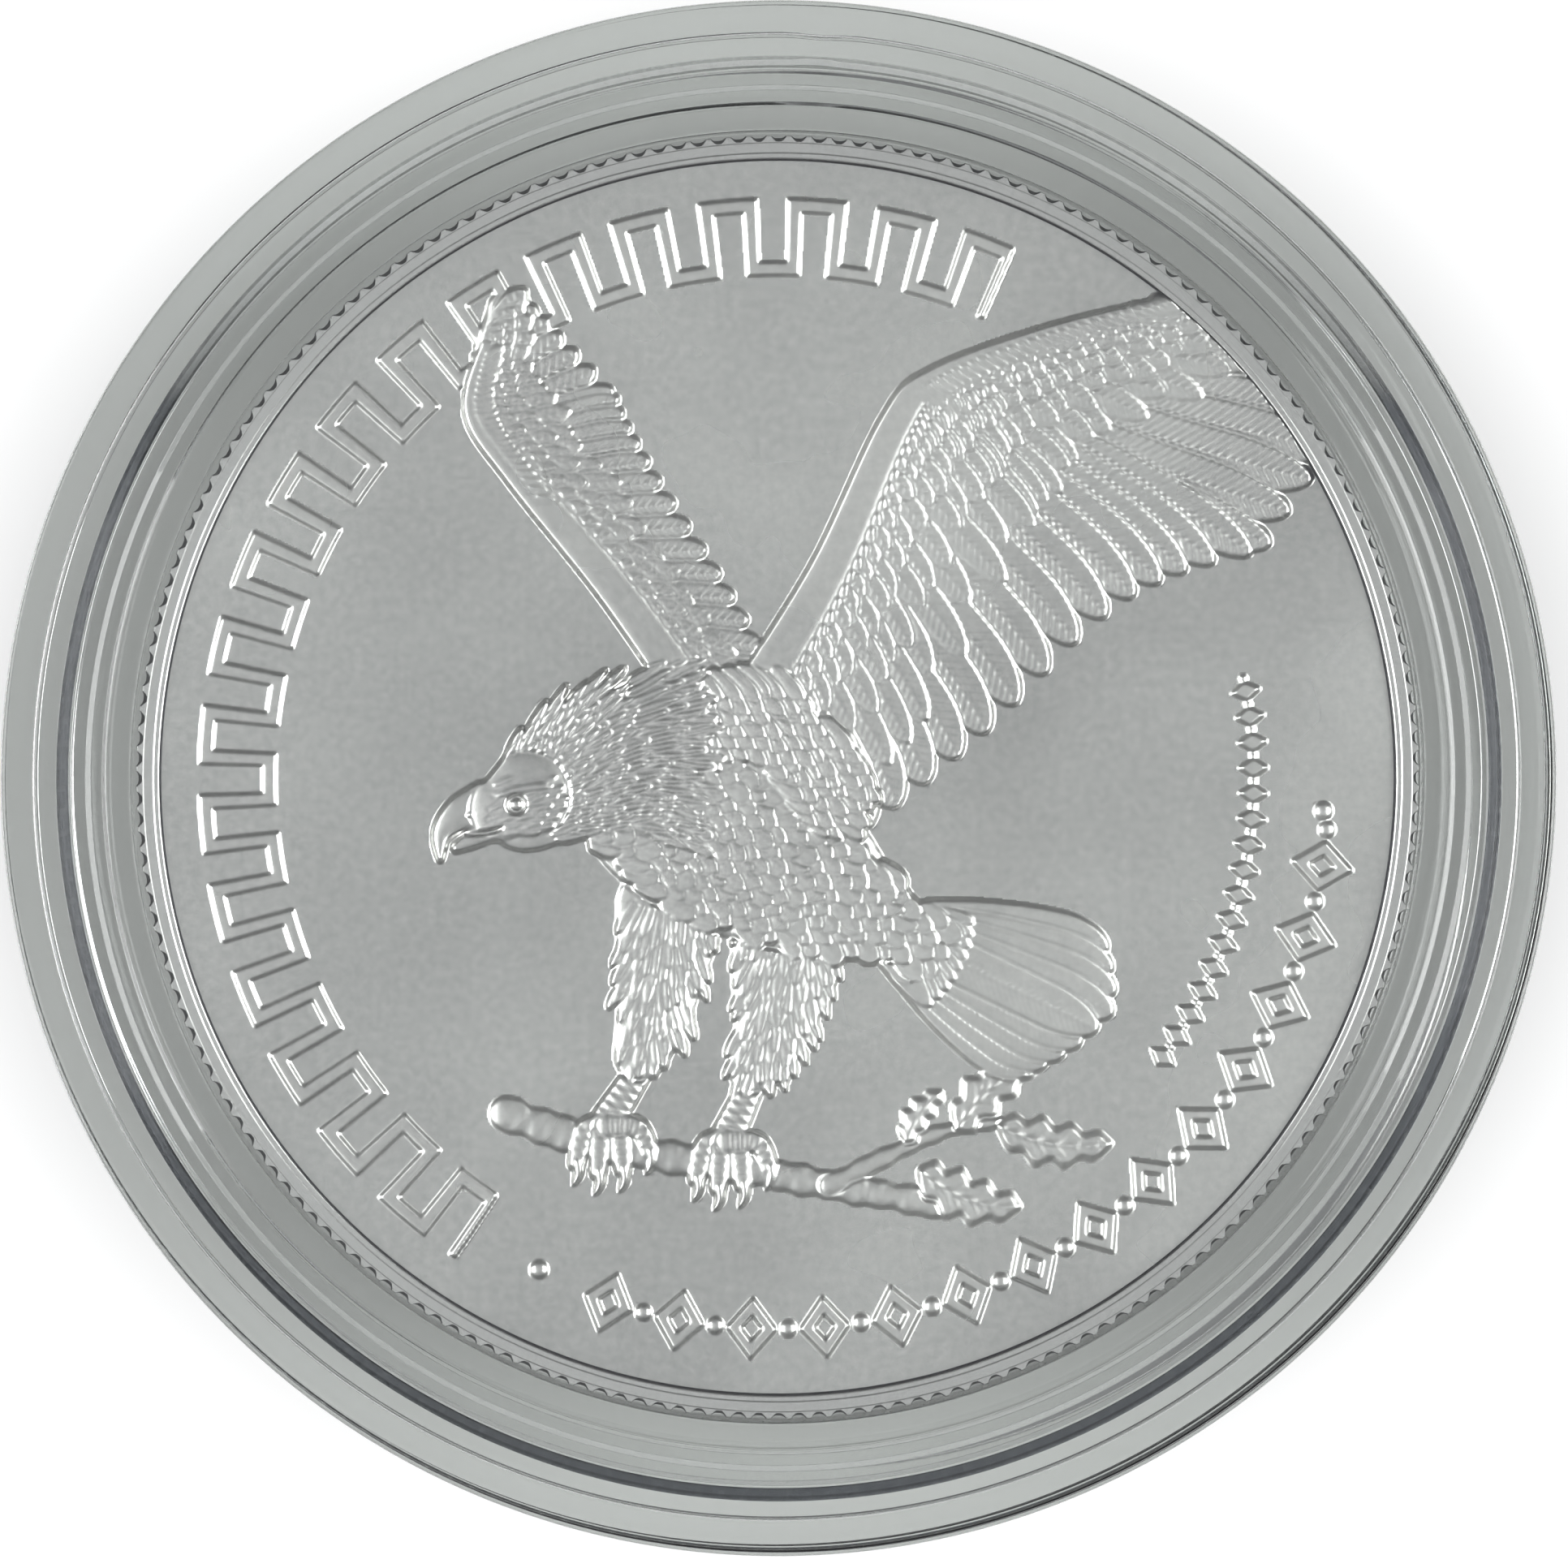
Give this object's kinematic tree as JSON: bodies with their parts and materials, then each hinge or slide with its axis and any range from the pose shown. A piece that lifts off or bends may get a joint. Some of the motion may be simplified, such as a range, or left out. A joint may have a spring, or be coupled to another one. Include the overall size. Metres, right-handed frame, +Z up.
{
  "type": "coin capsule",
  "caption": "Round clear two-part friction-fit capsule that protects one reeded silver-coloured coin, with raised rings so that capsules stack.",
  "frame": {"origin": "middle of the bottom face, on the plane that the base's foot ring stands on", "axes": "+Z up along the axis of the rings, from base to lid; +Y towards the top of the coin's design; +X to its right"},
  "size_m": [0.049, 0.049, 0.0068],
  "materials": {
    "clear_shell": "gloss",
    "silver_coin": "satin"
  },
  "bodies": {
    "base": {"base_shell": "clear_shell"},
    "lid": {"lid_shell": "clear_shell"},
    "coin": {"coin": "silver_coin"}
  },
  "joints": [
    {"name": "lid_lift", "type": "slide", "parent": "base", "child": "lid", "axis": [0, 0, 1], "range_m": [0, 0.03]},
    {"name": "coin_lift", "type": "slide", "parent": "base", "child": "coin", "axis": [0, 0, 1], "range_m": [0, 0.015]}
  ],
  "couplings": [
    {"joint": "coin_lift", "follows": "lid_lift", "ratio": 0.5}
  ]
}
